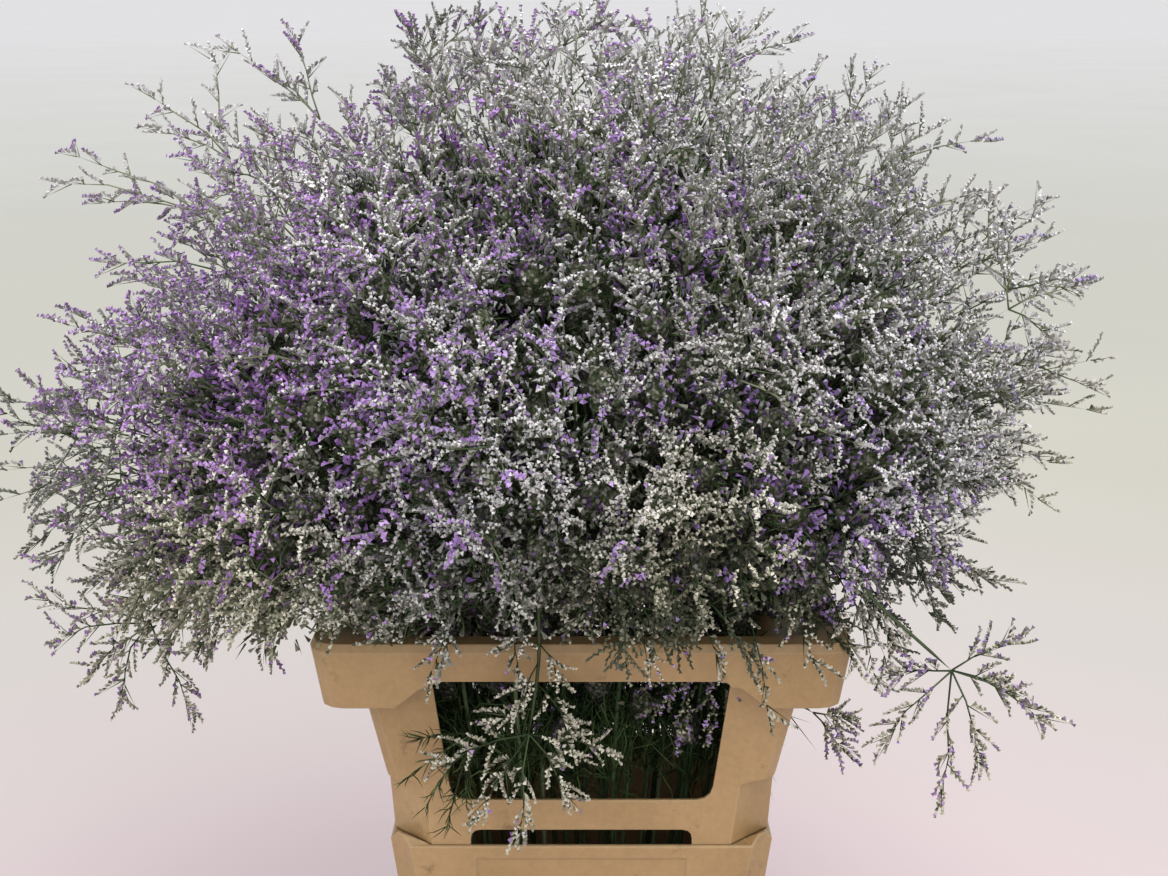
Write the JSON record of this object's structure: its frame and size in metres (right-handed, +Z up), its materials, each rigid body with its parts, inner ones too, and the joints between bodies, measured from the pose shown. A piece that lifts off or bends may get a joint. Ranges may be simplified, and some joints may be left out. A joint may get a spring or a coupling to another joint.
{
  "type": "dried statice in a flower bucket",
  "caption": "Full bunch of dried statice, violet and white florets on wiry green stems, standing in a cream plastic flower bucket with an extension collar.",
  "frame": {"origin": "on the ground, under the middle of the bucket's flat foot", "axes": "+X to the right of someone facing the long side with the window, +Y away from them, +Z up"},
  "size_m": [0.8587, 0.6698, 0.911],
  "materials": {
    "cream_plastic": "satin",
    "flower": "matte"
  },
  "bodies": {
    "root": {"bucket": "cream_plastic", "collar": "cream_plastic", "spray_01": "flower", "spray_02": "flower", "spray_03": "flower", "spray_04": "flower", "spray_05": "flower", "spray_06": "flower", "spray_07": "flower", "spray_08": "flower", "spray_09": "flower", "spray_10": "flower", "spray_11": "flower", "spray_12": "flower", "spray_13": "flower", "spray_14": "flower", "spray_15": "flower", "spray_16": "flower", "spray_17": "flower", "spray_18": "flower", "spray_19": "flower", "spray_20": "flower", "spray_21": "flower", "spray_22": "flower", "spray_23": "flower", "spray_24": "flower", "spray_25": "flower", "spray_26": "flower", "spray_27": "flower", "spray_28": "flower", "spray_29": "flower"}
  },
  "joints": []
}
